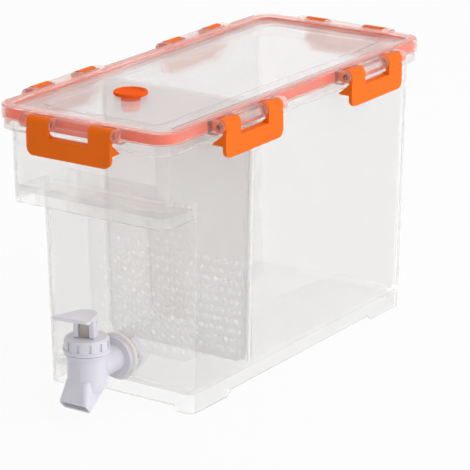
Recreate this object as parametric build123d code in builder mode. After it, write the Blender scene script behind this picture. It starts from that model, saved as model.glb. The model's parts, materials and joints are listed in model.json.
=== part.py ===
from build123d import *
from math import cos, radians, sin, tan
import os

# Overall size, read from the photograph
lid_length = 296.0
lid_width = 130.0
lid_top_z = 187.6
lid_corner = 15.0
half_x = lid_width / 2
half_y = lid_length / 2

# Container walls: every wall leans out by the draft angle
draft_angle = 1.32
wall = 2.2
base_inset = 9.9
base_half_x = half_x - base_inset
base_rear_y = half_y - base_inset
front_setback = 37.8
base_front_y = front_setback - half_y
base_corner = 5.5
floor_z = 14.0
floor_thickness = 2.2
floor_edge_radius = 3.0
ledge_z = 126.0
nose_setback = 7.0
nose_front_y = nose_setback - half_y
nose_overlap = 50.2
nose_root_y = base_front_y + nose_overlap
nose_corner = 8.0
nose_floor_rise = 6.8
inner_edge_radius = 3.0

# Feet and the gaps between them
foot_gap_height = 3.5
foot_length_side = 38.0
foot_length_end = 11.0
foot_slope = 4.0

# Flange, shelf and lip round the mouth of the container, measured down from the lid's top
flange_bottom_drop = 14.7
flange_step_drop = 12.0
flange_top_drop = 8.4
shelf_drop = 9.4
lip_top_drop = 3.1
flange_bottom_z = lid_top_z - flange_bottom_drop
flange_step_z = lid_top_z - flange_step_drop
flange_top_z = lid_top_z - flange_top_drop
shelf_z = lid_top_z - shelf_drop
lip_top_z = lid_top_z - lip_top_drop
flange_lower_inset = 1.0
flange_upper_inset = 1.6
lip_outer_inset = 3.5
lip_inner_inset = 5.3

# Lid
skirt_height = 8.1
skirt_bottom_z = lid_top_z - skirt_height
skirt_thickness = 1.8
rim_thickness = 1.4
rim_edge_radius = 1.3
plug_outer_inset = 5.8
plug_inner_inset = 7.4
plug_wall_height = 6.3
plug_bottom_z = lid_top_z - plug_wall_height
panel_drop = 2.0
panel_top_z = lid_top_z - panel_drop
panel_thickness = 1.6
plateau_inset = 20.0
plateau_height = 0.8
plateau_slope_angle = 30.0
plateau_corner = 8.0

# Seal ring in the lid
seal_gap = 0.3
seal_seat_gap = 0.1
seal_leg_thickness = 1.1
seal_leg_drop = 7.6
seal_leg_bottom_z = lid_top_z - seal_leg_drop
seal_press_gap = 0.05

# Latches and their hinges
hinge_out = 5.2
hinge_drop = 4.4
hinge_z = lid_top_z - hinge_drop
hinge_pin_radius = 1.7
hinge_running_gap = 0.1
hook_radius = 4.4
hook_mouth = 2.7
knuckle_radius = 4.1
knuckle_root = 6.2
knuckle_end_gap = 0.35
knuckle_end_length = 5.0
latch_half_length = 30.9
latch_notch_half = 14.9
latch_plate_thickness = 2.4
latch_drop = 19.4
latch_notch_drop = 7.6
latch_corner = 5.0
rib_bottom_drop = 12.3
rib_top_drop = 4.9
rib_reach = 5.9
rib_tip_thickness = 0.8
rib_end_inset = 0.8
side_latch_setback = 77.4
side_latch_y = half_y - side_latch_setback

# Vent plug and its hole
vent_x = -11.2
vent_setback = 68.8
vent_y = vent_setback - half_y
vent_disc_radius = 10.75
vent_disc_thickness = 2.2
vent_dish_depth = 0.8
vent_dish_inset = 1.6
vent_dish_angle = 27.5
vent_stem_radius = 6.0
vent_stem_length = 10.5
vent_hollow_radius = 4.0
vent_fit = 0.1
vent_seat_gap = 0.05
vent_edge_radius = 0.5

# Strainer partition and its guide ribs
strainer_setback = 101.0
strainer_y = strainer_setback - half_y
strainer_thickness = 2.0
strainer_top_drop = 4.0
strainer_top_z = lid_top_z - strainer_top_drop
strainer_side_gap = 0.3
strainer_corner = 10.0
guide_gap = 0.25
guide_thickness = 1.5
guide_height = 3.0
guide_top_drop = 15.6
guide_top_z = lid_top_z - guide_top_drop
hole_radius = 1.5
hole_margin = 7.9
hole_pitch_z = 6.45
hole_rows = 10
holes_per_row = 13
top_row_z = 79.0

# Spigot mounting
spigot_z = 28.4
spigot_pad_radius = 16.0
inner_pad_radius = 12.2
pad_height = 1.3
pad_outer_y = base_front_y - pad_height
pad_depth = 3.6
pad_inner_y = pad_outer_y + pad_depth
washer_thickness = 2.0
outer_washer_radius = 15.0
inner_washer_radius = 11.5
thread_radius = 8.0
thread_clearance = 0.3
nut_clearance = 0.1
nut_across_flats = 22.0
nut_thickness = 6.0
thread_length = 17.0
thread_end_y = pad_outer_y - washer_thickness + thread_length
spigot_flange_radius = 13.0
spigot_flange_thickness = 3.0
shank_radius = 8.6
flow_radius = 3.2

# Valve barrel and spout
valve_reach = 32.8
valve_y = base_front_y - valve_reach
barrel_radius = 12.3
barrel_bottom_z = 18.0
barrel_neck_radius = 11.5
barrel_top_z = 46.5
collar_radius = 13.9
collar_top_z = 41.0
collar_step_radius = 13.1
collar_step_z = 39.3
collar_bottom_z = 38.1
chamber_radius = 7.5
seat_z = 25.0
outlet_radius = 4.0
spout_top_z = 29.5
spout_top_half_x = 8.4
spout_top_reach = 4.2
spout_shoulder_z = 24.0
spout_shoulder_half_x = 8.6
spout_shoulder_reach = 12.0
spout_heel_z = 18.0
spout_heel_half_x = 9.6
spout_rear_reach = 7.4
spout_rear_y = valve_y + spout_rear_reach
spout_corner = 3.4
mouth_reach = 13.2
mouth_y = valve_y - mouth_reach
mouth_z = 8.8
mouth_tilt = 39.0
mouth_half_x = 10.6
mouth_half_depth = 4.1
mouth_corner = 2.6
spout_wall = 1.4

# Cap
cap_radius = 13.9
cap_lip_radius = 14.6
cap_seat_gap = 0.5
cap_bottom_z = collar_top_z + cap_seat_gap
cap_lip_top_z = 43.3
cap_top_z = 50.4
cap_top_thickness = 2.2
cap_chamfer = 1.4
cap_slot_count = 12
cap_slot_start = 15.0
cap_slot_width = 1.8
cap_slot_depth = 0.9
cap_slot_bottom_z = 44.0
cap_slot_top_z = 49.2
cap_inner_gap = 0.3

# Stem, stopper, ring and spring
stem_shaft_radius = 3.4
stem_running_gap = 0.1
stem_collar_radius = 7.1
stem_collar_bottom_z = 34.2
stem_collar_top_z = 38.4
stem_lower_radius = 3.0
stem_lower_end_z = 26.9
stem_neck_bottom_z = 50.6
stem_neck_half_x = 3.4
stem_neck_half_y = 3.4
ring_section_radius = 0.9
ring_centre_radius = 6.55
ring_z = 36.3
stopper_radius = 5.9
stopper_seat_gap = 0.05
stopper_cone_height = 1.6
stopper_top_z = 29.6
spring_wire_radius = 0.4
spring_coil_radius = 5.2
spring_turns = 3.5
spring_end_gap = 0.1

# Lever and its pin; the lever is turned about the barrel, and its plate rises to the front
lever_turn = 17.0
lever_rise = 10.5
lever_pin_z = 60.0
lever_pin_radius = 1.2
lever_pin_gap = 0.1
lever_cheek_inner = 3.7
lever_cheek_outer = 6.5
lever_cheek_front = 5.2
lever_cheek_rear = 2.6
lever_foot_z = 50.7
lever_foot_radius = 0.8
lever_plate_z = 65.9
lever_plate_thickness = 2.0
lever_front_reach = 28.0
lever_rear_reach = 2.6
lever_rear_overhang = 5.2
lever_front_half = 12.0
lever_rear_half = 3.5
lever_corner = 2.0
pin_end_inset = 0.4

slope = tan(radians(draft_angle))


def leaned(size, z):
    return size + slope * z


def plan(z, side, rear, front, corner):
    with BuildSketch(Plane.XY.offset(z)) as outline:
        with Locations((0, (rear + front) / 2)):
            RectangleRounded(2 * side, rear - front, corner)
    return outline.sketch


def ring_plan(z, inset):
    corner = max(lid_corner - inset, plateau_corner)
    return plan(z, half_x - inset, half_y - inset, inset - half_y, corner)


def wall_plan(z, inset, front, corner):
    return plan(z, leaned(base_half_x, z) - inset, leaned(base_rear_y, z) - inset, front + inset, corner)


# Container
nose_side = leaned(base_half_x, ledge_z)
outer_lower = wall_plan(0, 0, base_front_y, base_corner)
inner_lower = wall_plan(
    floor_z, wall, base_front_y - slope * floor_z, base_corner - wall + slope * floor_z)
skirt_void = wall_plan(0, wall, base_front_y, base_corner - wall)
nose_outline = plan(ledge_z, nose_side, nose_root_y, nose_front_y, nose_corner)
nose_skirt_void = plan(ledge_z, nose_side - wall, nose_root_y, nose_front_y + wall, nose_corner - wall)
inner_ledge_z = ledge_z + nose_floor_rise + wall
nose_void_outline = plan(
    inner_ledge_z, leaned(base_half_x, inner_ledge_z) - wall, nose_root_y,
    nose_front_y - slope * (inner_ledge_z - ledge_z) + wall, nose_corner - wall)
pad_depth_outer = base_front_y - pad_outer_y

with BuildPart() as nose_block:
    extrude(nose_outline, amount=flange_top_z - ledge_z, taper=-draft_angle)
    # hollow under the raised floor of the nose, so that its walls end in a skirt
    extrude(nose_skirt_void, amount=nose_floor_rise, taper=-draft_angle, mode=Mode.SUBTRACT)

with BuildPart() as nose_void:
    extrude(nose_void_outline, amount=shelf_z - inner_ledge_z, taper=-draft_angle)
    void_bottom = nose_void.faces().sort_by(Axis.Z)[0]
    fillet(void_bottom.edges().sort_by(Axis.Y)[:-1], radius=inner_edge_radius)

with BuildPart() as lower_void:
    extrude(inner_lower, amount=shelf_z - floor_z, taper=-draft_angle)
    fillet(lower_void.faces().sort_by(Axis.Z)[0].edges(), radius=floor_edge_radius)

with BuildPart() as container:
    extrude(outer_lower, amount=flange_top_z, taper=-draft_angle)
    add(nose_block.part)
    # flange in two steps, then the lip that the seal closes on
    extrude(ring_plan(flange_bottom_z, flange_lower_inset), amount=flange_step_z - flange_bottom_z)
    extrude(ring_plan(flange_step_z, flange_upper_inset), amount=flange_top_z - flange_step_z)
    extrude(ring_plan(flange_top_z, lip_outer_inset), amount=lip_top_z - flange_top_z)
    # flat seats for the spigot washers
    with BuildSketch(Plane.XZ.offset(-base_front_y - wall)):
        with Locations((0, spigot_z)):
            Circle(spigot_pad_radius)
    extrude(amount=pad_depth_outer + wall)
    add(lower_void.part, mode=Mode.SUBTRACT)
    add(nose_void.part, mode=Mode.SUBTRACT)
    extrude(ring_plan(shelf_z, lip_inner_inset), amount=lip_top_z - shelf_z, mode=Mode.SUBTRACT)
    extrude(skirt_void, amount=floor_z - floor_thickness, taper=-draft_angle, mode=Mode.SUBTRACT)
    with BuildSketch(Plane.XZ.offset(-pad_inner_y)):
        with Locations((0, spigot_z)):
            Circle(inner_pad_radius)
    extrude(amount=pad_depth_outer)
    # guide ribs that hold the strainer partition
    for side in (-1, 1):
        guide_bottom = leaned(base_half_x, floor_z) - wall
        guide_top = leaned(base_half_x, guide_top_z) - wall
        for face in (-1, 1):
            near = strainer_thickness / 2 + guide_gap
            centre = strainer_y + face * (near + guide_thickness / 2)
            with BuildSketch(Plane.XZ.offset(-centre)):
                with BuildLine():
                    Polyline(
                        (side * (guide_bottom - guide_height), floor_z - floor_thickness / 2),
                        (side * (guide_bottom + wall / 2), floor_z - floor_thickness / 2),
                        (side * (guide_top + wall / 2), guide_top_z),
                        (side * (guide_top - guide_height), guide_top_z),
                        close=True)
                make_face()
            extrude(amount=guide_thickness / 2, both=True)
    # gaps between the feet, along both sides and both ends
    foot_front = base_front_y + foot_length_side
    foot_rear = base_rear_y - foot_length_side
    with BuildSketch(Plane.YZ):
        with BuildLine():
            Polyline((foot_front, 0), (foot_rear, 0), (foot_rear - foot_slope, foot_gap_height),
                     (foot_front + foot_slope, foot_gap_height), close=True)
        make_face()
    extrude(amount=half_x, both=True, mode=Mode.SUBTRACT)
    foot_side = base_half_x - foot_length_end
    with BuildSketch(Plane.XZ):
        with BuildLine():
            Polyline((-foot_side, 0), (foot_side, 0), (foot_side - foot_slope, foot_gap_height),
                     (foot_slope - foot_side, foot_gap_height), close=True)
        make_face()
    extrude(amount=half_y, both=True, mode=Mode.SUBTRACT)
    # hole for the spigot thread
    with BuildSketch(Plane.XZ.offset(-(pad_inner_y + pad_outer_y) / 2)):
        with Locations((0, spigot_z)):
            Circle(thread_radius + thread_clearance)
    extrude(amount=2 * wall, both=True, mode=Mode.SUBTRACT)

# Hinge knuckles: local frame on the hinge axis, X outwards
with BuildPart() as knuckles:
    with BuildSketch(Plane.XZ) as knuckle_outline:
        Circle(knuckle_radius)
        with Locations((-knuckle_root / 2, 0)):
            Rectangle(knuckle_root, 2 * knuckle_radius)
    extrude(amount=latch_notch_half - knuckle_end_gap, both=True)
    end_start = latch_half_length + knuckle_end_gap
    for side in (-1, 1):
        centre = side * (end_start + knuckle_end_length / 2)
        with BuildSketch(Plane.XZ.offset(-centre)):
            Circle(knuckle_radius)
            with Locations((-knuckle_root / 2, 0)):
                Rectangle(knuckle_root, 2 * knuckle_radius)
        extrude(amount=knuckle_end_length / 2, both=True)
    with BuildSketch(Plane.XZ):
        Circle(hinge_pin_radius)
    extrude(amount=end_start + knuckle_end_length / 2, both=True)

hinge_places = {
    "latch_right_front": Location((half_x + hinge_out, -side_latch_y, hinge_z), (0, 0, 0)),
    "latch_right_rear": Location((half_x + hinge_out, side_latch_y, hinge_z), (0, 0, 0)),
    "latch_rear": Location((0, half_y + hinge_out, hinge_z), (0, 0, 90)),
    "latch_left_rear": Location((-half_x - hinge_out, side_latch_y, hinge_z), (0, 0, 180)),
    "latch_left_front": Location((-half_x - hinge_out, -side_latch_y, hinge_z), (0, 0, 180)),
    "latch_front": Location((0, -half_y - hinge_out, hinge_z), (0, 0, 270)),
}

# Lid: skirt and rim, plug wall inside, sunk panel with a raised middle
panel_bottom_z = panel_top_z - panel_thickness
with BuildPart() as lid:
    extrude(ring_plan(skirt_bottom_z, 0), amount=lid_top_z - skirt_bottom_z)
    fillet(lid.faces().sort_by(Axis.Z)[-1].edges(), radius=rim_edge_radius)
    extrude(ring_plan(skirt_bottom_z, skirt_thickness), mode=Mode.SUBTRACT,
            amount=lid_top_z - rim_thickness - skirt_bottom_z)
    extrude(ring_plan(plug_bottom_z, plug_outer_inset), amount=lid_top_z - rim_thickness - plug_bottom_z)
    extrude(ring_plan(panel_top_z, plug_inner_inset), amount=lid_top_z - panel_top_z, mode=Mode.SUBTRACT)
    extrude(ring_plan(plug_bottom_z, plug_inner_inset), mode=Mode.SUBTRACT,
            amount=panel_bottom_z - plug_bottom_z)
    extrude(ring_plan(panel_top_z, plateau_inset), amount=plateau_height, taper=plateau_slope_angle)
    extrude(ring_plan(panel_bottom_z, plateau_inset + panel_thickness), amount=plateau_height,
            taper=plateau_slope_angle, mode=Mode.SUBTRACT)
    with Locations(*hinge_places.values()):
        add(knuckles.part)
    with BuildSketch(Plane.XY.offset(panel_bottom_z)):
        with Locations((vent_x, vent_y)):
            Circle(vent_stem_radius + vent_fit)
    extrude(amount=panel_thickness + 2 * plateau_height, mode=Mode.SUBTRACT)

# Seal ring: an outer leg and a web over the lip
seal_top_z = lid_top_z - rim_thickness - seal_seat_gap
seal_outer = skirt_thickness + seal_seat_gap
with BuildPart() as lid_seal:
    extrude(ring_plan(seal_leg_bottom_z, seal_outer), amount=seal_top_z - seal_leg_bottom_z)
    extrude(ring_plan(seal_leg_bottom_z, seal_outer + seal_leg_thickness), mode=Mode.SUBTRACT,
            amount=lip_top_z + seal_press_gap - seal_leg_bottom_z)
    extrude(ring_plan(seal_leg_bottom_z, plug_outer_inset - seal_gap), mode=Mode.SUBTRACT,
            amount=seal_top_z - seal_leg_bottom_z)

# One latch: local frame on the hinge axis, X outwards, Z up
with BuildPart() as latch_shape:
    plate_inner = hook_radius - latch_plate_thickness
    with BuildSketch(Plane.YZ.offset(plate_inner)) as plate_outline:
        with Locations((0, -latch_drop / 2)):
            Rectangle(2 * latch_half_length, latch_drop)
        fillet(plate_outline.vertices().group_by(Axis.Z)[0], radius=latch_corner)
    extrude(amount=latch_plate_thickness)
    with BuildSketch(Plane.XZ):
        Circle(hook_radius)
    extrude(amount=latch_half_length, both=True)
    # catch rib: flat underneath, sloping on top
    with BuildSketch(Plane.XZ):
        with BuildLine():
            Polyline((plate_inner, -rib_bottom_drop), (-rib_reach, -rib_bottom_drop),
                     (-rib_reach, rib_tip_thickness - rib_bottom_drop), (plate_inner, -rib_top_drop),
                     close=True)
        make_face()
    extrude(amount=latch_half_length - rib_end_inset, both=True)
    # notch between the two arms
    with BuildSketch(Plane.YZ.offset(-rib_reach)):
        with Locations((0, hook_radius - (hook_radius + latch_notch_drop) / 2)):
            Rectangle(2 * latch_notch_half, hook_radius + latch_notch_drop)
    extrude(amount=rib_reach + hook_radius, mode=Mode.SUBTRACT)
    # open hook that snaps over the hinge pin
    with BuildSketch(Plane.XZ):
        Circle(hinge_pin_radius + hinge_running_gap)
        with Locations((0, -hook_radius / 2)):
            Rectangle(hook_mouth, hook_radius)
    extrude(amount=latch_half_length, both=True, mode=Mode.SUBTRACT)

with BuildPart() as latch_right_front:
    with Locations(hinge_places["latch_right_front"]):
        add(latch_shape.part)

with BuildPart() as latch_right_rear:
    with Locations(hinge_places["latch_right_rear"]):
        add(latch_shape.part)

with BuildPart() as latch_rear:
    with Locations(hinge_places["latch_rear"]):
        add(latch_shape.part)

with BuildPart() as latch_left_rear:
    with Locations(hinge_places["latch_left_rear"]):
        add(latch_shape.part)

with BuildPart() as latch_left_front:
    with Locations(hinge_places["latch_left_front"]):
        add(latch_shape.part)

with BuildPart() as latch_front:
    with Locations(hinge_places["latch_front"]):
        add(latch_shape.part)

# Vent plug: dished disc on a hollow stem
vent_seat_z = panel_top_z + plateau_height + vent_seat_gap
vent_top_z = vent_seat_z + vent_disc_thickness
with BuildPart() as vent_plug:
    with BuildSketch(Plane.XY.offset(vent_seat_z)):
        with Locations((vent_x, vent_y)):
            Circle(vent_disc_radius)
    extrude(amount=vent_disc_thickness)
    fillet(vent_plug.edges().filter_by(GeomType.CIRCLE), radius=vent_edge_radius)
    with BuildSketch(Plane.XY.offset(vent_top_z)):
        with Locations((vent_x, vent_y)):
            Circle(vent_disc_radius - vent_dish_inset)
    extrude(amount=-vent_dish_depth, taper=vent_dish_angle, mode=Mode.SUBTRACT)
    with BuildSketch(Plane.XY.offset(vent_seat_z + vent_disc_thickness / 2)):
        with Locations((vent_x, vent_y)):
            Circle(vent_stem_radius)
    extrude(amount=-vent_stem_length - vent_disc_thickness / 2)
    with BuildSketch(Plane.XY.offset(vent_seat_z - vent_stem_length)):
        with Locations((vent_x, vent_y)):
            Circle(vent_hollow_radius)
    extrude(amount=vent_stem_length, mode=Mode.SUBTRACT)

# Strainer partition: a flat board across the container, drilled in staggered rows
with BuildPart() as strainer_partition:
    board_bottom_z = floor_z + strainer_side_gap
    bottom_half = leaned(base_half_x, board_bottom_z) - wall - strainer_side_gap
    top_half = leaned(base_half_x, shelf_z) - wall - strainer_side_gap
    hole_pitch_x = 2 * (bottom_half - hole_margin) / (holes_per_row - 1)
    with BuildSketch(Plane.XZ.offset(-strainer_y)) as board:
        with BuildLine():
            Polyline((-bottom_half, board_bottom_z), (bottom_half, board_bottom_z),
                     (top_half, strainer_top_z), (-top_half, strainer_top_z), close=True)
        make_face()
        fillet(board.vertices(), radius=strainer_corner)
        for row in range(hole_rows):
            shift = hole_pitch_x / 2 * (row % 2)
            count = holes_per_row - row % 2
            with Locations((0, top_row_z - row * hole_pitch_z)):
                with GridLocations(hole_pitch_x, hole_pitch_x, count, 1):
                    Circle(hole_radius, mode=Mode.SUBTRACT)
    extrude(amount=strainer_thickness / 2, both=True)

# Spigot: flange, thread, shank, barrel and spout in one moulding
outer_washer_y = pad_outer_y - washer_thickness
flange_face_y = outer_washer_y - spigot_flange_thickness
mouth_plane = Plane(origin=(0, mouth_y, mouth_z), x_dir=(1, 0, 0),
                    z_dir=(0, -cos(radians(mouth_tilt)), -sin(radians(mouth_tilt))))
mouth_front_y = mouth_y - mouth_half_depth * sin(radians(mouth_tilt))
mouth_front_z = mouth_z + mouth_half_depth * cos(radians(mouth_tilt))
spout_shoulder_y = valve_y - spout_shoulder_reach
spout_lean = (spout_shoulder_y - mouth_front_y) / (spout_shoulder_z - mouth_front_z)
spout_heel_front_y = spout_shoulder_y - spout_lean * (spout_shoulder_z - spout_heel_z)
with BuildPart() as spigot_body:
    with BuildSketch(Plane.XZ.offset(-outer_washer_y)):
        with Locations((0, spigot_z)):
            Circle(spigot_flange_radius)
    extrude(amount=spigot_flange_thickness)
    with BuildSketch(Plane.XZ.offset(-thread_end_y)):
        with Locations((0, spigot_z)):
            Circle(thread_radius)
    extrude(amount=thread_end_y - outer_washer_y)
    with BuildSketch(Plane.XZ.offset(-flange_face_y)):
        with Locations((0, spigot_z)):
            Circle(shank_radius)
    extrude(amount=flange_face_y - valve_y)
    # barrel, its stepped collar, and the neck that goes into the cap
    for low, high, radius in (
            (barrel_bottom_z, collar_bottom_z, barrel_radius),
            (collar_bottom_z, collar_step_z, collar_step_radius),
            (collar_step_z, collar_top_z, collar_radius),
            (collar_top_z, barrel_top_z, barrel_neck_radius)):
        with BuildSketch(Plane.XY.offset(low)):
            with Locations((0, valve_y)):
                Circle(radius)
        extrude(amount=high - low)
    # spout, lofted through its top inside the barrel, its shoulder, its heel and its mouth
    for height, half, front in (
            (spout_top_z, spout_top_half_x, valve_y - spout_top_reach),
            (spout_shoulder_z, spout_shoulder_half_x, spout_shoulder_y),
            (spout_heel_z, spout_heel_half_x, spout_heel_front_y)):
        with BuildSketch(Plane.XY.offset(height)):
            with Locations((0, (front + spout_rear_y) / 2)):
                RectangleRounded(2 * half, spout_rear_y - front, spout_corner)
    with BuildSketch(mouth_plane):
        RectangleRounded(2 * mouth_half_x, 2 * mouth_half_depth, mouth_corner)
    loft(ruled=True)
    # way through: thread and shank, chamber, outlet, spout
    with BuildSketch(Plane.XZ.offset(-thread_end_y)):
        with Locations((0, spigot_z)):
            Circle(flow_radius)
    extrude(amount=thread_end_y - valve_y, mode=Mode.SUBTRACT)
    with BuildSketch(Plane.XY.offset(seat_z)):
        with Locations((0, valve_y)):
            Circle(chamber_radius)
    extrude(amount=barrel_top_z - seat_z, mode=Mode.SUBTRACT)
    with BuildSketch(Plane.XY.offset(seat_z)):
        with Locations((0, valve_y)):
            Circle(outlet_radius)
    with BuildSketch(mouth_plane):
        Rectangle(2 * (mouth_half_x - spout_wall), 2 * (mouth_half_depth - spout_wall))
    loft(mode=Mode.SUBTRACT)

# Washers and nut that clamp the spigot to the wall
with BuildPart() as outer_washer:
    with BuildSketch(Plane.XZ.offset(-pad_outer_y)):
        with Locations((0, spigot_z)):
            Circle(outer_washer_radius)
            Circle(thread_radius + thread_clearance, mode=Mode.SUBTRACT)
    extrude(amount=washer_thickness)

inner_washer_y = pad_inner_y + washer_thickness
with BuildPart() as inner_washer:
    with BuildSketch(Plane.XZ.offset(-inner_washer_y)):
        with Locations((0, spigot_z)):
            Circle(inner_washer_radius)
            Circle(thread_radius + thread_clearance, mode=Mode.SUBTRACT)
    extrude(amount=washer_thickness)

nut_face_y = inner_washer_y + nut_thickness
with BuildPart() as spigot_nut:
    with BuildSketch(Plane.XZ.offset(-nut_face_y)):
        with Locations((0, spigot_z)):
            RegularPolygon(radius=nut_across_flats / 2, side_count=6, major_radius=False)
            Circle(thread_radius + nut_clearance, mode=Mode.SUBTRACT)
    extrude(amount=nut_thickness)

# Cap with grip slots
with BuildPart() as spigot_cap:
    with BuildSketch(Plane.XY.offset(cap_bottom_z)):
        with Locations((0, valve_y)):
            Circle(cap_radius)
    extrude(amount=cap_top_z - cap_bottom_z)
    chamfer(spigot_cap.faces().sort_by(Axis.Z)[-1].edges(), length=cap_chamfer)
    with BuildSketch(Plane.XY.offset(cap_bottom_z)):
        with Locations((0, valve_y)):
            Circle(cap_lip_radius)
    extrude(amount=cap_lip_top_z - cap_bottom_z)
    with BuildSketch(Plane.XY.offset(cap_slot_bottom_z)):
        with Locations((0, valve_y)):
            with PolarLocations(cap_radius, cap_slot_count, cap_slot_start):
                Rectangle(2 * cap_slot_depth, cap_slot_width)
    extrude(amount=cap_slot_top_z - cap_slot_bottom_z, mode=Mode.SUBTRACT)
    with BuildSketch(Plane.XY.offset(cap_bottom_z)):
        with Locations((0, valve_y)):
            Circle(barrel_neck_radius + cap_inner_gap)
    extrude(amount=cap_top_z - cap_top_thickness - cap_bottom_z, mode=Mode.SUBTRACT)
    with BuildSketch(Plane.XY.offset(cap_top_z)):
        with Locations((0, valve_y)):
            Circle(stem_shaft_radius + stem_running_gap)
    extrude(amount=-cap_top_thickness, mode=Mode.SUBTRACT)

# Stem: collar and shaft inside, flat-sided neck above the cap, turned with the lever
turned = Plane(origin=(0, valve_y, 0), x_dir=(cos(radians(lever_turn)), sin(radians(lever_turn)), 0))
turned_side = Plane(origin=turned.origin, x_dir=turned.y_dir, z_dir=turned.x_dir)
with BuildPart() as valve_stem:
    for low, high, radius in (
            (stem_lower_end_z, stem_collar_bottom_z, stem_lower_radius),
            (stem_collar_bottom_z, stem_collar_top_z, stem_collar_radius),
            (stem_collar_top_z, stem_neck_bottom_z, stem_shaft_radius)):
        with BuildSketch(Plane.XY.offset(low)):
            with Locations((0, valve_y)):
                Circle(radius)
        extrude(amount=high - low)
    with BuildSketch(turned_side) as neck:
        with Locations((0, (stem_neck_bottom_z + lever_pin_z) / 2)):
            Rectangle(2 * stem_neck_half_y, lever_pin_z - stem_neck_bottom_z)
        with Locations((0, lever_pin_z)):
            Circle(stem_neck_half_y)
            Circle(lever_pin_radius, mode=Mode.SUBTRACT)
    extrude(amount=stem_neck_half_x, both=True)
    with BuildSketch(Plane.XZ.offset(-valve_y)) as groove:
        with Locations((ring_centre_radius, ring_z)):
            Circle(ring_section_radius)
    revolve(axis=Axis((0, valve_y, 0), (0, 0, 1)), mode=Mode.SUBTRACT)

with BuildPart() as stem_ring:
    with BuildSketch(Plane.XZ.offset(-valve_y)):
        with Locations((ring_centre_radius, ring_z)):
            Circle(ring_section_radius)
    revolve(axis=Axis((0, valve_y, 0), (0, 0, 1)))

# Rubber stopper on the foot of the stem
with BuildPart() as valve_stopper:
    with BuildSketch(Plane.XZ.offset(-valve_y)):
        with BuildLine():
            stopper_bottom = seat_z + stopper_seat_gap
            Polyline((0, stopper_bottom), (stopper_radius, stopper_bottom),
                     (stopper_radius, stopper_bottom + stopper_cone_height),
                     (stem_lower_radius + stopper_cone_height, stopper_top_z),
                     (stem_lower_radius, stopper_top_z), (stem_lower_radius, stem_lower_end_z),
                     (0, stem_lower_end_z), close=True)
        make_face()
    revolve(axis=Axis((0, valve_y, 0), (0, 0, 1)))

# Return spring between the stem collar and the cap
spring_low = stem_collar_top_z + spring_end_gap + spring_wire_radius
spring_high = cap_top_z - cap_top_thickness - spring_end_gap - spring_wire_radius
with BuildPart() as valve_spring:
    with BuildLine() as coil:
        Helix(pitch=(spring_high - spring_low) / spring_turns, height=spring_high - spring_low,
              radius=spring_coil_radius, center=(0, valve_y, spring_low))
    with BuildSketch(Plane(origin=coil.line @ 0, z_dir=coil.line % 0)):
        Circle(spring_wire_radius)
    sweep()

# Lever: flared plate on two cheeks whose feet rock on the cap
rise = tan(radians(lever_rise))


def inside_plate(along):
    """Height of a point inside the plate's thickness, so far behind the stem's axis."""
    return lever_plate_z - lever_plate_thickness / 2 - rise * along


with BuildPart() as lever:
    with BuildSketch(turned.offset(lever_plate_z).rotated((-lever_rise, 0, 0))) as paddle:
        with BuildLine():
            Polyline((-lever_front_half, -lever_front_reach), (lever_front_half, -lever_front_reach),
                     (lever_cheek_outer, lever_rear_reach),
                     (lever_rear_half, lever_rear_reach + lever_rear_overhang),
                     (-lever_rear_half, lever_rear_reach + lever_rear_overhang),
                     (-lever_cheek_outer, lever_rear_reach), close=True)
        make_face()
        fillet(paddle.vertices().group_by(Axis.Y)[0], radius=lever_corner)
    extrude(amount=-lever_plate_thickness)
    for side in (-1, 1):
        with BuildSketch(turned_side.offset(side * lever_cheek_inner)) as cheek:
            with BuildLine():
                Polyline((-lever_cheek_front, lever_foot_z), (lever_cheek_rear, lever_foot_z),
                         (lever_cheek_rear, inside_plate(lever_cheek_rear)),
                         (-lever_cheek_front, inside_plate(-lever_cheek_front)), close=True)
            make_face()
            fillet(cheek.vertices().group_by(Axis.Y)[0], radius=lever_foot_radius)
            with Locations((0, lever_pin_z)):
                Circle(lever_pin_radius + lever_pin_gap, mode=Mode.SUBTRACT)
        extrude(amount=side * (lever_cheek_outer - lever_cheek_inner))

with BuildPart() as lever_pin:
    with BuildSketch(turned_side):
        with Locations((0, lever_pin_z)):
            Circle(lever_pin_radius)
    extrude(amount=lever_cheek_outer - pin_end_inset, both=True)

# Names and files: the origin moves to the middle of the whole outline
outline_rear_y = half_y + hinge_out + hook_radius
outline_front_y = lever.part.bounding_box().min.Y
to_origin = Location((0, -(outline_front_y + outline_rear_y) / 2, 0))
pieces = {
    "container": container, "lid": lid, "lid_seal": lid_seal,
    "latch_front": latch_front, "latch_rear": latch_rear,
    "latch_right_front": latch_right_front, "latch_right_rear": latch_right_rear,
    "latch_left_front": latch_left_front, "latch_left_rear": latch_left_rear,
    "vent_plug": vent_plug, "strainer_partition": strainer_partition,
    "spigot_body": spigot_body, "spigot_cap": spigot_cap, "spigot_nut": spigot_nut,
    "outer_washer": outer_washer, "inner_washer": inner_washer,
    "valve_stem": valve_stem, "stem_ring": stem_ring, "valve_stopper": valve_stopper,
    "valve_spring": valve_spring, "lever": lever, "lever_pin": lever_pin,
}
os.makedirs("parts", exist_ok=True)
for label, piece in pieces.items():
    placed = piece.part.moved(to_origin)
    placed.label = label
    export_step(placed, "parts/" + label + ".step")
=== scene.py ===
# %% [markdown]
# # A fridge drink dispenser
# The dispenser is a milky clear box with a press tap, a clear lid, a coral seal and six orange clips.
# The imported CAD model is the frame: every piece made here is laid over it, and rides on one of its bodies.

# %% Load the frame
import json
import math

import bmesh
import bpy
from mathutils import Matrix, Vector


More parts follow.
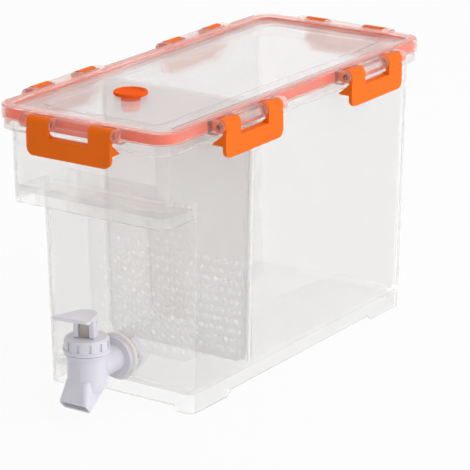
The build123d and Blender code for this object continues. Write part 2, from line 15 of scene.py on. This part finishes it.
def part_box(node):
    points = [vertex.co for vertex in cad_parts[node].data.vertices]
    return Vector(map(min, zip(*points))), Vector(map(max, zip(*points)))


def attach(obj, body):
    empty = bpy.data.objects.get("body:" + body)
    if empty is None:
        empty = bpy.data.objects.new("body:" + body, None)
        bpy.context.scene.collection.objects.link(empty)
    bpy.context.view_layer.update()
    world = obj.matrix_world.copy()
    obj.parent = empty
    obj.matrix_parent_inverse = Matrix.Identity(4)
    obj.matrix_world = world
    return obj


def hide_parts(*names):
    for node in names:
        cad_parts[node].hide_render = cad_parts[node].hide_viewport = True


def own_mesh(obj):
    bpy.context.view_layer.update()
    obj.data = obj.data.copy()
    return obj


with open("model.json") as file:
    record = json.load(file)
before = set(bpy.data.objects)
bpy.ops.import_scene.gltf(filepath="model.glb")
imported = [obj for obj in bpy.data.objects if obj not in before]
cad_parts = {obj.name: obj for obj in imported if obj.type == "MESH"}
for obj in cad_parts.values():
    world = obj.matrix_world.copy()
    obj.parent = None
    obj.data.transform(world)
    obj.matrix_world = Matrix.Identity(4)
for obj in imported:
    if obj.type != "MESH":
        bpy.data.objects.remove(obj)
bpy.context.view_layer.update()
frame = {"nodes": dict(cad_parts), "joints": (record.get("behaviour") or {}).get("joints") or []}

mm = 0.001

# %% [markdown]
# ## Camera
# The photograph was taken from the front right, a little above the lid. Its straight edges give the
# direction, distance and lens. A camera looks along its own minus Z, so its matrix is built from three
# directions: right, up and back. It aims at the middle of the box, at about half its height, and the
# small offsets move it sideways, as the picture is not centred.

# %% Camera
azimuth, elevation, roll = math.radians(34.0945), math.radians(17.8145), math.radians(-0.1305)
distance, aim_height = 1702.27 * mm, 93.8 * mm
shift_right, shift_up = 9.958 * mm, -16.408 * mm
sensor_width, focal_length, far_clip = 36, 202.49, 50

box_low, box_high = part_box("container")
aim = Vector((0, (box_low.y + box_high.y) / 2, aim_height))
back = Vector((math.sin(azimuth) * math.cos(elevation), -math.cos(azimuth) * math.cos(elevation),
               math.sin(elevation)))
level_right = Vector((math.cos(azimuth), math.sin(azimuth), 0))
level_up = back.cross(level_right)
right = math.cos(roll) * level_right + math.sin(roll) * level_up
up = -math.sin(roll) * level_right + math.cos(roll) * level_up

camera_data = bpy.data.cameras.new("camera")
camera_data.sensor_width = sensor_width
camera_data.sensor_fit = "HORIZONTAL"
camera_data.lens = focal_length
camera_data.clip_end = far_clip
camera = bpy.data.objects.new("camera", camera_data)
turn = Matrix((right, up, back)).transposed().to_4x4()
camera.matrix_world = Matrix.Translation(aim + back * distance + level_right * shift_right
                                         + level_up * shift_up) @ turn
bpy.context.scene.collection.objects.link(camera)
bpy.context.scene.camera = camera
bpy.context.scene.view_settings.view_transform = "Standard"
print("camera at mm", [round(v / mm) for v in camera.matrix_world.translation])

# %% [markdown]
# ## A small language for materials
# A material is a tree of nodes. Written out link by link it is hard to read, so two helpers shorten it.
# A `Wire` wraps one output of a node, and lets Python's own + - * stand for Math nodes.

# %% Wire
class Wire:
    """One output of a node. A sum or product of wires is the output of a new Math node."""
    def __init__(self, finish, socket):
        self.finish, self.socket = finish, socket

    def __add__(self, other):
        return self.finish.math("ADD", self, other)

    def __radd__(self, other):
        return self.finish.math("ADD", other, self)

    def __sub__(self, other):
        return self.finish.math("SUBTRACT", self, other)

    def __mul__(self, other):
        return self.finish.math("MULTIPLY", self, other)

    def __rmul__(self, other):
        return self.finish.math("MULTIPLY", other, self)

# %% [markdown]
# A `Finish` is a material, or a world, whose tree is being built. Its methods add the few kinds of node
# that this scene needs, so that a finish below reads as one short sentence.

# %% Finish
class Finish:
    """A node tree under construction: node() adds one node, give() fills the Principled sockets."""
    def __init__(self, name, owner=None):
        self.owner = owner or bpy.data.materials.new(name)
        self.owner.use_nodes = True
        self.tree = self.owner.node_tree
        self.shader = self.tree.nodes.get("Principled BSDF")

    def fill(self, node, values):
        for key, value in values.items():
            if isinstance(value, Wire):
                self.tree.links.new(value.socket, node.inputs[key])
            else:
                node.inputs[key].default_value = value

    def node(self, kind, settings=None, values=None, out=0):
        new = self.tree.nodes.new(kind)
        for key, value in (settings or {}).items():
            setattr(new, key, value)
        self.fill(new, values or {})
        return Wire(self, new.outputs[out])

    def give(self, **sockets):
        self.fill(self.shader, {key.replace("_", " "): value for key, value in sockets.items()})

    def place(self):
        return self.node("ShaderNodeTexCoord", out="Object")

    def split(self, vector):
        parts = self.node("ShaderNodeSeparateXYZ", values={0: vector}).socket.node.outputs
        return [Wire(self, part) for part in parts]

    def noise(self, scale, detail, rough):
        return self.node("ShaderNodeTexNoise", values={
            "Vector": self.place(), "Scale": scale, "Detail": detail, "Roughness": rough})

    def math(self, operation, first, second=0.0, clamp=False):
        return self.node("ShaderNodeMath", {"operation": operation, "use_clamp": clamp},
                         {0: first, 1: second})

    def mix(self, mask, first, second):
        return self.node("ShaderNodeMix", {"data_type": "RGBA"},
                         {"Factor": mask, "A": first, "B": second}, out="Result")

    def tones(self, mask, dark, light):
        return self.mix(mask, (*dark, 1), (*light, 1))

    def bump(self, height, strength, depth):
        return self.node("ShaderNodeBump", values={
            "Height": height, "Strength": strength, "Distance": depth})

# %% [markdown]
# ## The rim of the lid: a painted glow of the seal
# The seal throws its coral colour into the clear rim above it. Light alone would carry too little of it
# there, so the lid's finish paints that coral into its rim as colour, a painted glow, and makes the rim
# more solid there, under a mask. The mask needs no picture: it is the distance outside the seal's own
# outline, turned into a soft step that starts inside the seal.

# %% Mask of the painted seal glow
painted_glow_start, painted_glow_width, painted_glow_cover = 11 * mm, 6 * mm, 0.24

seal_low, seal_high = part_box("lid_seal")
seal_half_x, seal_half_y = (seal_high.x - seal_low.x) / 2, (seal_high.y - seal_low.y) / 2
seal_middle_y = (seal_high.y + seal_low.y) / 2
print("seal half sizes in mm", round(seal_half_x / mm, 1), round(seal_half_y / mm, 1))


# Mask for the painted glow: 0 well inside the seal's outline, rising to 1 over the rim.
def painted_glow_mask(finish):
    across, along, _ = finish.split(finish.place())
    beside = finish.math("ABSOLUTE", across) - seal_half_x
    beyond = finish.math("ABSOLUTE", along - seal_middle_y) - seal_half_y
    inward = finish.math("MAXIMUM", beside, beyond) + painted_glow_start
    return finish.math("MULTIPLY", inward, 1 / painted_glow_width, clamp=True)

# %% [markdown]
# ## Clear plastic
# The box is a food plastic that is clear but a little milky: a wall lets light through and also
# scatters some of it. Principled's transmission gives the first and what is left of its base colour
# gives the second. Each wall has a real thickness in the CAD, so the light bends as it should. The
# faint waves of the mould steel go in the bump, and handling dulls the gloss in soft patches. The
# share called solid goes to Alpha: the rest of a wall lets the eye pass unbent, which keeps the far
# walls easy to read. The strainer board is the most solid of the three, and frosted.

# %% Clear and frosted plastics
handling_marks = {"scale": 22, "detail": 3, "rough": 0.55}
frost_grain = {"scale": 900, "detail": 2, "rough": 0.6}
mould_waves = {"scale": 60, "detail": 2, "rough": 0.4}
wave_height, handling_dulls = 0.2 * mm, 0.02


def clear_finish(name, dark, light, through, bend, gloss, waves, frost=0.0, solid=1.0, painted_seal_glow=None):
    finish = Finish(name)
    clouds, fine = finish.noise(**handling_marks), finish.noise(**frost_grain)
    colour, cover = finish.tones(clouds, dark, light), solid
    # Painted glow of the seal: its coral is mixed into the rim's colour, and the rim's Alpha is raised
    # there.
    if painted_seal_glow:
        rim = painted_glow_mask(finish)
        colour, cover = finish.mix(rim, colour, (*painted_seal_glow, 1)), solid + painted_glow_cover * rim
    finish.give(Base_Color=colour, Transmission_Weight=through, IOR=bend,
                Alpha=cover, Roughness=gloss + handling_dulls * clouds + frost * fine,
                Normal=finish.bump(finish.noise(**mould_waves), waves, wave_height))
    return finish.owner


box_plastic = clear_finish("milky box plastic", (0.94, 0.93, 0.92), (0.98, 0.97, 0.96),
                           through=0.92, bend=1.27, gloss=0.004, waves=0.015, solid=0.48)
# The lid's faint pink tones stand for the seal's coral light in the clear plastic: a painted glow.
lid_plastic = clear_finish("clear lid plastic", (0.93, 0.885, 0.885), (0.965, 0.925, 0.925),
                           through=0.88, bend=1.22, gloss=0.02, waves=0.04, solid=0.56,
                           # The coral painted into the rim as the seal's glow.
                           painted_seal_glow=(0.995, 0.85, 0.81))
board_plastic = clear_finish("frosted board plastic", (0.975, 0.965, 0.955), (0.995, 0.99, 0.98),
                             through=0.18, bend=1.30, gloss=0.30, waves=0.10, frost=0.06)
print("nodes in the lid's finish", len(lid_plastic.node_tree.nodes))

# %% [markdown]
# ## Orange clips, silicone and the white tap
# The clips are a satin orange plastic. Two noises make it real: a soft one that clouds the colour, and
# a very fine one, the spark-eroded skin of the mould, that breaks up the gloss. Silicone is softer:
# duller, and with light that goes a little way in. The tap is the same idea as the clips in white.

# %% Solid finishes
colour_clouds = {"scale": 35, "detail": 3, "rough": 0.5}
skin_detail, skin_rough, skin_depth = 2, 0.6, 0.05 * mm
clouds_dull, skin_dulls = 0.08, 0.05
silicone_glow_depth = 1.5 * mm


def moulded_finish(name, dark, light, gloss, grain=1600.0, bumps=0.12, **constants):
    finish = Finish(name)
    clouds, skin = finish.noise(**colour_clouds), finish.noise(grain, skin_detail, skin_rough)
    finish.give(Base_Color=finish.tones(clouds, dark, light),
                Roughness=gloss + clouds_dull * clouds + skin_dulls * skin,
                Normal=finish.bump(skin, bumps, skin_depth), **constants)
    return finish.owner


clip_orange = moulded_finish("orange clip plastic", (0.80, 0.125, 0.001), (0.90, 0.165, 0.003), 0.38,
                             IOR=1.4, Specular_IOR_Level=0.18)
plug_orange = moulded_finish("orange plug silicone", (0.88, 0.09, 0.001), (0.96, 0.12, 0.002), 0.50,
                             grain=1200.0, bumps=0.10, Specular_IOR_Level=0.06,
                             Subsurface_Weight=0.10, Subsurface_Scale=silicone_glow_depth)
seal_coral = moulded_finish("coral seal silicone", (0.94, 0.11, 0.02), (0.99, 0.16, 0.035), 0.50,
                            grain=1000.0, bumps=0.10, Specular_IOR_Level=0.2,
                            Subsurface_Weight=0.2, Subsurface_Scale=silicone_glow_depth)
tap_white = moulded_finish("white tap plastic", (0.66, 0.65, 0.71), (0.74, 0.73, 0.79), 0.28,
                           Coat_Weight=0.15, Coat_Roughness=0.15)
washer_silicone = moulded_finish("pale washer silicone", (0.92, 0.88, 0.85), (0.97, 0.94, 0.91), 0.38,
                                 Transmission_Weight=0.12)
stem_brown = moulded_finish("brown stem plastic", (0.58, 0.47, 0.42), (0.72, 0.62, 0.56), 0.25,
                            Transmission_Weight=0.35)
rubber_white = moulded_finish("white rubber", (0.52, 0.51, 0.50), (0.60, 0.59, 0.58), 0.60)
spring_steel = moulded_finish("spring steel", (0.50, 0.50, 0.52), (0.62, 0.62, 0.64), 0.24,
                              grain=4000.0, Metallic=1.0)
print("nodes in the clips' finish", len(clip_orange.node_tree.nodes))

# %% [markdown]
# ## A finish for every node
# Every solid of the CAD model gets its finish, also one that a finer piece replaces below. What the
# table doesn't name is a clip.

# %% Finishes on the CAD nodes
cad_finishes = {
    "container": box_plastic, "lid": lid_plastic, "lid_seal": seal_coral,
    "strainer_partition": board_plastic, "outer_washer": washer_silicone,
    "inner_washer": washer_silicone, "valve_stem": stem_brown, "stem_ring": rubber_white,
    "valve_stopper": rubber_white, "valve_spring": spring_steel, "spigot_nut": tap_white,
    "lever_pin": tap_white, "spigot_body": tap_white, "spigot_cap": tap_white, "lever": tap_white,
    "vent_plug": plug_orange,
}
for node, obj in frame["nodes"].items():
    obj.data.materials.clear()
    obj.data.materials.append(cad_finishes.get(node, clip_orange))
print("finishes on", len(frame["nodes"]), "nodes")

# %% [markdown]
# ## Soft edges
# No moulded part has a knife edge. For a moulding whose form the CAD already holds, a copy of its
# triangles is merged, its flat faces are joined again, and every sharp edge gets a small bevel that
# catches the light. A Bevel modifier could do this too, but the operator works on the joined faces in
# the same pass, and its count of edges can be printed.

# %% Copy of a moulding with its edges eased
weld_distance, flat_angle = 0.004 * mm, math.radians(0.6)
sharp_angle = math.radians(32)


def copied(node):
    form = bmesh.new()
    form.from_mesh(frame["nodes"][node].data)
    bmesh.ops.remove_doubles(form, verts=form.verts, dist=weld_distance)
    bmesh.ops.dissolve_limit(form, angle_limit=flat_angle, verts=form.verts, edges=form.edges)
    return form


def eased(node, width, segments=2):
    form = copied(node)
    edges = [e for e in form.edges if len(e.link_faces) == 2 and e.calc_face_angle(0) > sharp_angle]
    bmesh.ops.bevel(form, geom=edges, offset=width, offset_type="OFFSET", affect="EDGES",
                    segments=segments, profile=0.5, material=-1, clamp_overlap=True)
    print(node, "sharp edges eased", len(edges))
    return form

# %% [markdown]
# ## From a form to a piece
# A piece is a mesh with its finish. It rides on a body of the CAD model, and the CAD nodes that it stands
# for are hidden. Its edges stay crisp only where they turn sharply, and weighted normals keep a flat face
# flat beside its bevels.

# %% Piece
smooth_angle, flat_face_weight = math.radians(40), 100


def piece(form, name, body, finish, slot, *nodes, smooth=smooth_angle):
    mesh = bpy.data.meshes.new(name)
    for face in form.faces:
        face.smooth = True
    for edge in form.edges:
        edge.smooth = len(edge.link_faces) != 2 or edge.calc_face_angle(0) < smooth
    form.to_mesh(mesh)
    form.free()
    mesh.materials.append(finish)
    obj = bpy.data.objects.new(name, mesh)
    bpy.context.scene.collection.objects.link(obj)
    flats = obj.modifiers.new("flat faces stay flat", "WEIGHTED_NORMAL")
    flats.keep_sharp, flats.weight = True, flat_face_weight
    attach(obj, body)
    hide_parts(*nodes)
    low, high = (Vector(f(v.co[i] for v in mesh.vertices) for i in range(3)) for f in (min, max))
    print(name, len(mesh.polygons), "faces, mm", [round(v / mm, 1) for v in high - low])
    return obj

# %% [markdown]
# ## Six clips
# Each clip is one moulding: a plate with two arms that hook over the pins of the lid, and a rib inside
# that catches under the flange. The same recipe serves all six, so a loop makes them.

# %% Clips
clip_ease = 0.55 * mm
for side in ("front", "rear", "right_front", "right_rear", "left_front", "left_rear"):
    node = "latch_" + side
    piece(eased(node, clip_ease, segments=3), "clip_" + side, node, clip_orange, "orange_plastic", node)

# %% [markdown]
# ## The tap
# The spout, shank and barrel are one white moulding. The cap over it has grip slots and a double lip.
# The lever is a thumb plate on two cheeks. The CAD holds all these forms, so only their edges are eased:
# least on the cap, where the slots are narrow, and in more steps on the lever, where a thumb rests.

# %% Tap body, cap, nut and lever
body_ease, cap_ease, nut_ease, lever_ease = 0.45 * mm, 0.25 * mm, 0.5 * mm, 0.5 * mm
piece(eased("spigot_body", body_ease), "tap_body", "container", tap_white, "white_plastic",
      "spigot_body")
piece(eased("spigot_cap", cap_ease), "tap_cap", "container", tap_white, "white_plastic", "spigot_cap")
piece(eased("spigot_nut", nut_ease), "tap_nut", "container", tap_white, "white_plastic", "spigot_nut")
piece(eased("lever", lever_ease, segments=3), "tap_lever", "lever", tap_white, "white_plastic", "lever")

# %% [markdown]
# ## Return spring
# The spring stands on the stem's collar and pushes against the cap. When the lever lifts the stem, the
# spring has to give way; its copy keeps the CAD form, and the travel of the stem is printed beside its
# length.

# %% Return spring
spring_low, spring_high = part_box("valve_spring")
travel = next(joint["range_m"][1] for joint in frame["joints"] if joint["name"] == "stem_lift")
spring = piece(copied("valve_spring"), "return_spring", "container", spring_steel, "spring_steel",
               "valve_spring")
1 - travel / (spring_high.z - spring_low.z)
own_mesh(spring)
print("spring in mm", round((spring_high.z - spring_low.z) / mm, 2), "gives way by", travel / mm)

# %% [markdown]
# ## Vent plug
# The plug is turned, so half of its outline is drawn once and spun about its own axis: a dished disc
# with a soft rim, and the hollow stem that grips the hole in the lid. Depths are measured down from the
# top, and the points of the rim are given as steps in from the disc's edge, each with its depth.

# %% Outline of the vent plug
disc_radius, disc_thickness = 10.75 * mm, 2.2 * mm
button_radius, button_depth = 3.2 * mm, 0.85 * mm
bead_radius, bead_depth = 3.9 * mm, 0.65 * mm
dish_inner, dish_outer, dish_depth = 4.6 * mm, 8.0 * mm, 0.95 * mm
slope_radius, slope_depth, lip_radius = 8.7 * mm, 0.3 * mm, 9.1 * mm
rim_steps = [(0.6 * mm, 0), (0.15 * mm, 0.25 * mm), (0, 0.8 * mm),
             (0, 1.6 * mm), (0.3 * mm, 2.1 * mm), (0.8 * mm, disc_thickness)]
stem_radius, stem_chamfer = 6.0 * mm, 0.5 * mm
hollow_radius, hollow_chamfer, hollow_depth = 4.0 * mm, 0.4 * mm, 2.6 * mm

plug_low, plug_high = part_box("vent_plug")
plug_axis = Vector(((plug_low.x + plug_high.x) / 2, (plug_low.y + plug_high.y) / 2, 0))
dish = [(0, button_depth), (button_radius, button_depth), (bead_radius, bead_depth),
        (dish_inner, dish_depth), (dish_outer, dish_depth), (slope_radius, slope_depth),
        (lip_radius, 0)]
rim = [(disc_radius - step, depth) for step, depth in rim_steps]
outline = [(radius, plug_high.z - depth) for radius, depth in dish + rim]
outline += [(stem_radius, plug_high.z - disc_thickness), (stem_radius, plug_low.z + stem_chamfer),
            (stem_radius - stem_chamfer, plug_low.z), (hollow_radius + hollow_chamfer, plug_low.z),
            (hollow_radius, plug_low.z + hollow_chamfer), (hollow_radius, plug_high.z - hollow_depth),
            (0, plug_high.z - hollow_depth)]
print("plug outline has", len(outline), "points")

# %% [markdown]
# A Screw modifier could turn this outline too. The spin operator leaves a plain mesh at once, so the
# points that meet on the axis can be merged, and all faces turned outward.

# %% Vent plug
plug_steps, plug_weld, plug_smooth = 96, 0.001 * mm, math.radians(50)
plug = bmesh.new()
points = [plug.verts.new((plug_axis.x + r, plug_axis.y, z)) for r, z in outline]
edges = [plug.edges.new(pair) for pair in zip(points, points[1:])]
bmesh.ops.spin(plug, geom=points + edges, cent=plug_axis, axis=(0, 0, 1), angle=2 * math.pi,
               steps=plug_steps, use_merge=True)
bmesh.ops.remove_doubles(plug, verts=plug.verts, dist=plug_weld)
bmesh.ops.recalc_face_normals(plug, faces=plug.faces)
piece(plug, "vent_plug_turned", "vent_plug", plug_orange, "orange_silicone", "vent_plug",
      smooth=plug_smooth)

# %% [markdown]
# ## Box and lid
# The clear mouldings keep their CAD form too. Their rims, knuckles, feet and ledges get the same small
# bevel, because in clear plastic it is the edges that the eye sees: each bevel is a thin line of light.

# %% Box and lid
box_ease, lid_ease = 0.4 * mm, 0.3 * mm
piece(eased("container", box_ease), "clear_box", "container", box_plastic, "clear_plastic", "container")
piece(eased("lid", lid_ease), "clear_lid", "lid", lid_plastic, "clear_plastic", "lid")

# %% [markdown]
# ## Floor
# The picture is a plain white studio shot. The floor is pale and keeps the shadow; for rays from the
# camera, and those that a gloss or a clear wall sends on, most of it glows white, so that the
# background stays white without more light on the object.

# %% Floor
floor_radius, floor_sides, floor_drop = 9.0, 96, 0.05 * mm
floor_colour, floor_rough, floor_glow = (0.86, 0.86, 0.87, 1), 0.7, 0.90
white = (1, 1, 1, 1)


def seen_by_eye(finish):
    rays = [finish.node("ShaderNodeLightPath", out=kind)
            for kind in ("Is Camera Ray", "Is Glossy Ray", "Is Transmission Ray")]
    return finish.math("MINIMUM", rays[0] + rays[1] + rays[2], 1.0)


paint = Finish("pale floor")
paint.give(Base_Color=floor_colour, Roughness=floor_rough)
glow = paint.node("ShaderNodeEmission", values={"Color": white, "Strength": 1.0})
mixed = paint.node("ShaderNodeMixShader", values={
    0: seen_by_eye(paint) * floor_glow, 1: Wire(paint, paint.shader.outputs[0]), 2: glow})
paint.tree.links.new(mixed.socket, paint.tree.nodes["Material Output"].inputs["Surface"])

ground = bmesh.new()
bmesh.ops.create_circle(ground, cap_ends=True, segments=floor_sides, radius=floor_radius)
floor_mesh = bpy.data.meshes.new("floor")
ground.to_mesh(floor_mesh)
ground.free()
floor_mesh.materials.append(paint.owner)
floor = bpy.data.objects.new("floor", floor_mesh)
floor.location.z = -floor_drop
bpy.context.scene.collection.objects.link(floor)
print("floor radius in m", floor_radius)

# %% [markdown]
# ## World and lamp
# The room's light is brighter from both sides, from the rear and from above than from the front, which
# rounds the pale forms. What the camera sees, directly, in a gloss or through a clear wall, is plain
# white instead. One large lamp at the right adds to the room's light.

# %% World and lamp
room_colour = (1, 0.99, 0.985, 1)
room_light, from_right, from_sides, from_rear, from_above = 0.57, 0.20, 0.30, 0.17, 0.16
lamp_width, lamp_height, lamp_watts = 2.2, 1.8, 18.0
lamp_place, lamp_target = Vector((1.55, 0.35, 0.95)), Vector((0, 0, 0.1))

world = bpy.data.worlds.new("studio")
bpy.context.scene.world = world
sky = Finish("studio", world)
sideways, rearward, upward = sky.split(sky.node("ShaderNodeTexCoord", out="Generated"))
strength = (room_light + from_right * sideways + from_sides * sideways * sideways
            + from_rear * rearward + from_above * upward)
room = sky.node("ShaderNodeBackground", values={"Color": room_colour, "Strength": strength})
seen = sky.node("ShaderNodeBackground", values={"Color": white, "Strength": 1.0})
both = sky.node("ShaderNodeMixShader", values={0: seen_by_eye(sky), 1: room, 2: seen})
sky.tree.links.new(both.socket, sky.tree.nodes["World Output"].inputs["Surface"])

lamp_data = bpy.data.lights.new("right lamp", "AREA")
lamp_data.shape, lamp_data.energy = "RECTANGLE", lamp_watts
lamp_data.size, lamp_data.size_y = lamp_width, lamp_height
lamp = bpy.data.objects.new("right lamp", lamp_data)
lamp.location = lamp_place
lamp.rotation_euler = (lamp_target - lamp_place).to_track_quat("-Z", "Y").to_euler()
bpy.context.scene.collection.objects.link(lamp)
print("lamp at m", [round(v, 2) for v in lamp_place])
